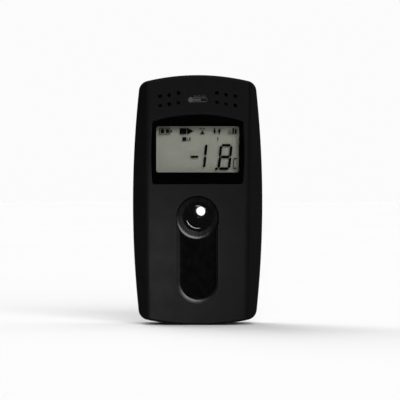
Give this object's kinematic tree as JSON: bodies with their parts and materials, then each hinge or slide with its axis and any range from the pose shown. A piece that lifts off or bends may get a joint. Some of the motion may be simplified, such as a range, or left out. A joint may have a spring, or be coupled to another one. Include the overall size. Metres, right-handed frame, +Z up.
{
  "type": "temperature data logger",
  "caption": "Slim black pocket temperature logger with an arched display window, a domed push button in a long thumb groove, and a coin-slot battery door.",
  "frame": {"origin": "middle of the footprint at the lowest point of the case, which stands upright on its lower end", "axes": "+X to the right as the display is read, +Y from the display towards the battery door, +Z up towards the vents"},
  "size_m": [0.044, 0.02, 0.0845],
  "materials": {
    "textured_case": "fine spark-eroded texture, satin",
    "gloss_case": "polished black",
    "clear_acrylic": "polished clear acrylic",
    "black_ink": "printed black border",
    "black_tape": "double-sided tape",
    "black_foam": "closed-cell foam",
    "polarizer_film": "polarizing film",
    "lcd_glass": "display glass",
    "lcd_reflector": "grey-green reflective film",
    "white_plastic": "moulded",
    "zebra_rubber": "layered conductive rubber",
    "screw_steel": "zinc plated",
    "label_film": "blank silver film",
    "switch_plastic": "moulded",
    "switch_plunger": "moulded",
    "tinned_metal": "tin plated",
    "green_board": "solder mask",
    "chip_epoxy": "moulded epoxy",
    "capacitor_ceramic": "fired",
    "sensor_epoxy": "dipped epoxy",
    "cell_steel": "stainless",
    "spring_nickel": "nickel plated",
    "contact_gold": "gold flashed",
    "port_rubber": "soft moulded rubber"
  },
  "bodies": {
    "case": {"front_shell": "textured_case", "back_shell": "textured_case", "case_screws": "screw_steel", "blank_label": "label_film", "display_window": "clear_acrylic", "window_mask": "black_ink", "window_adhesive": "black_tape", "lcd_foam_gasket": "black_foam", "lcd_front_polarizer": "polarizer_film", "lcd_front_glass": "lcd_glass", "lcd_rear_glass": "lcd_glass", "lcd_reflector": "lcd_reflector", "lcd_holder": "white_plastic", "zebra_connector": "zebra_rubber", "button_bezel": "gloss_case", "tact_switch_body": "switch_plastic", "tact_switch_pins": "tinned_metal", "circuit_board": "green_board", "board_screws": "screw_steel", "microcontroller": "chip_epoxy", "microcontroller_leads": "tinned_metal", "memory_chip": "chip_epoxy", "memory_chip_leads": "tinned_metal", "clock_crystal": "tinned_metal", "chip_resistors": "chip_epoxy", "chip_capacitors": "capacitor_ceramic", "sensor_bead": "sensor_epoxy", "sensor_leads": "tinned_metal", "buzzer": "switch_plastic", "coin_cell": "cell_steel", "battery_holder": "white_plastic", "battery_contact_plus": "spring_nickel", "battery_contact_minus": "spring_nickel", "usb_socket_shell": "tinned_metal", "usb_socket_tongue": "switch_plastic", "usb_socket_pins": "contact_gold", "usb_plug_root": "port_rubber"},
    "button": {"button_cap": "gloss_case"},
    "switch_plunger": {"tact_switch_plunger": "switch_plunger"},
    "battery_door": {"battery_door": "textured_case"},
    "usb_plug": {"usb_port_plug": "port_rubber"}
  },
  "joints": [
    {"name": "button_press", "type": "slide", "parent": "case", "child": "button", "axis": [0, 1, 0], "range_m": [0, 0.0004], "stiffness_N_per_m": 250, "springref_m": -0.002},
    {"name": "plunger_press", "type": "slide", "parent": "case", "child": "switch_plunger", "axis": [0, 1, 0], "range_m": [0, 0.0004]},
    {"name": "battery_door_turn", "type": "hinge", "parent": "case", "child": "battery_door", "pos_m": [0, 0.009, 0.028], "axis": [0, 1, 0], "range_deg": [0, 60]},
    {"name": "usb_plug_swing", "type": "hinge", "parent": "case", "child": "usb_plug", "pos_m": [0.0215, 0.00055, 0.03565], "axis": [0, 1, 0], "range_deg": [0, 100]}
  ],
  "couplings": [
    {"joint": "plunger_press", "follows": "button_press", "ratio": 1}
  ]
}
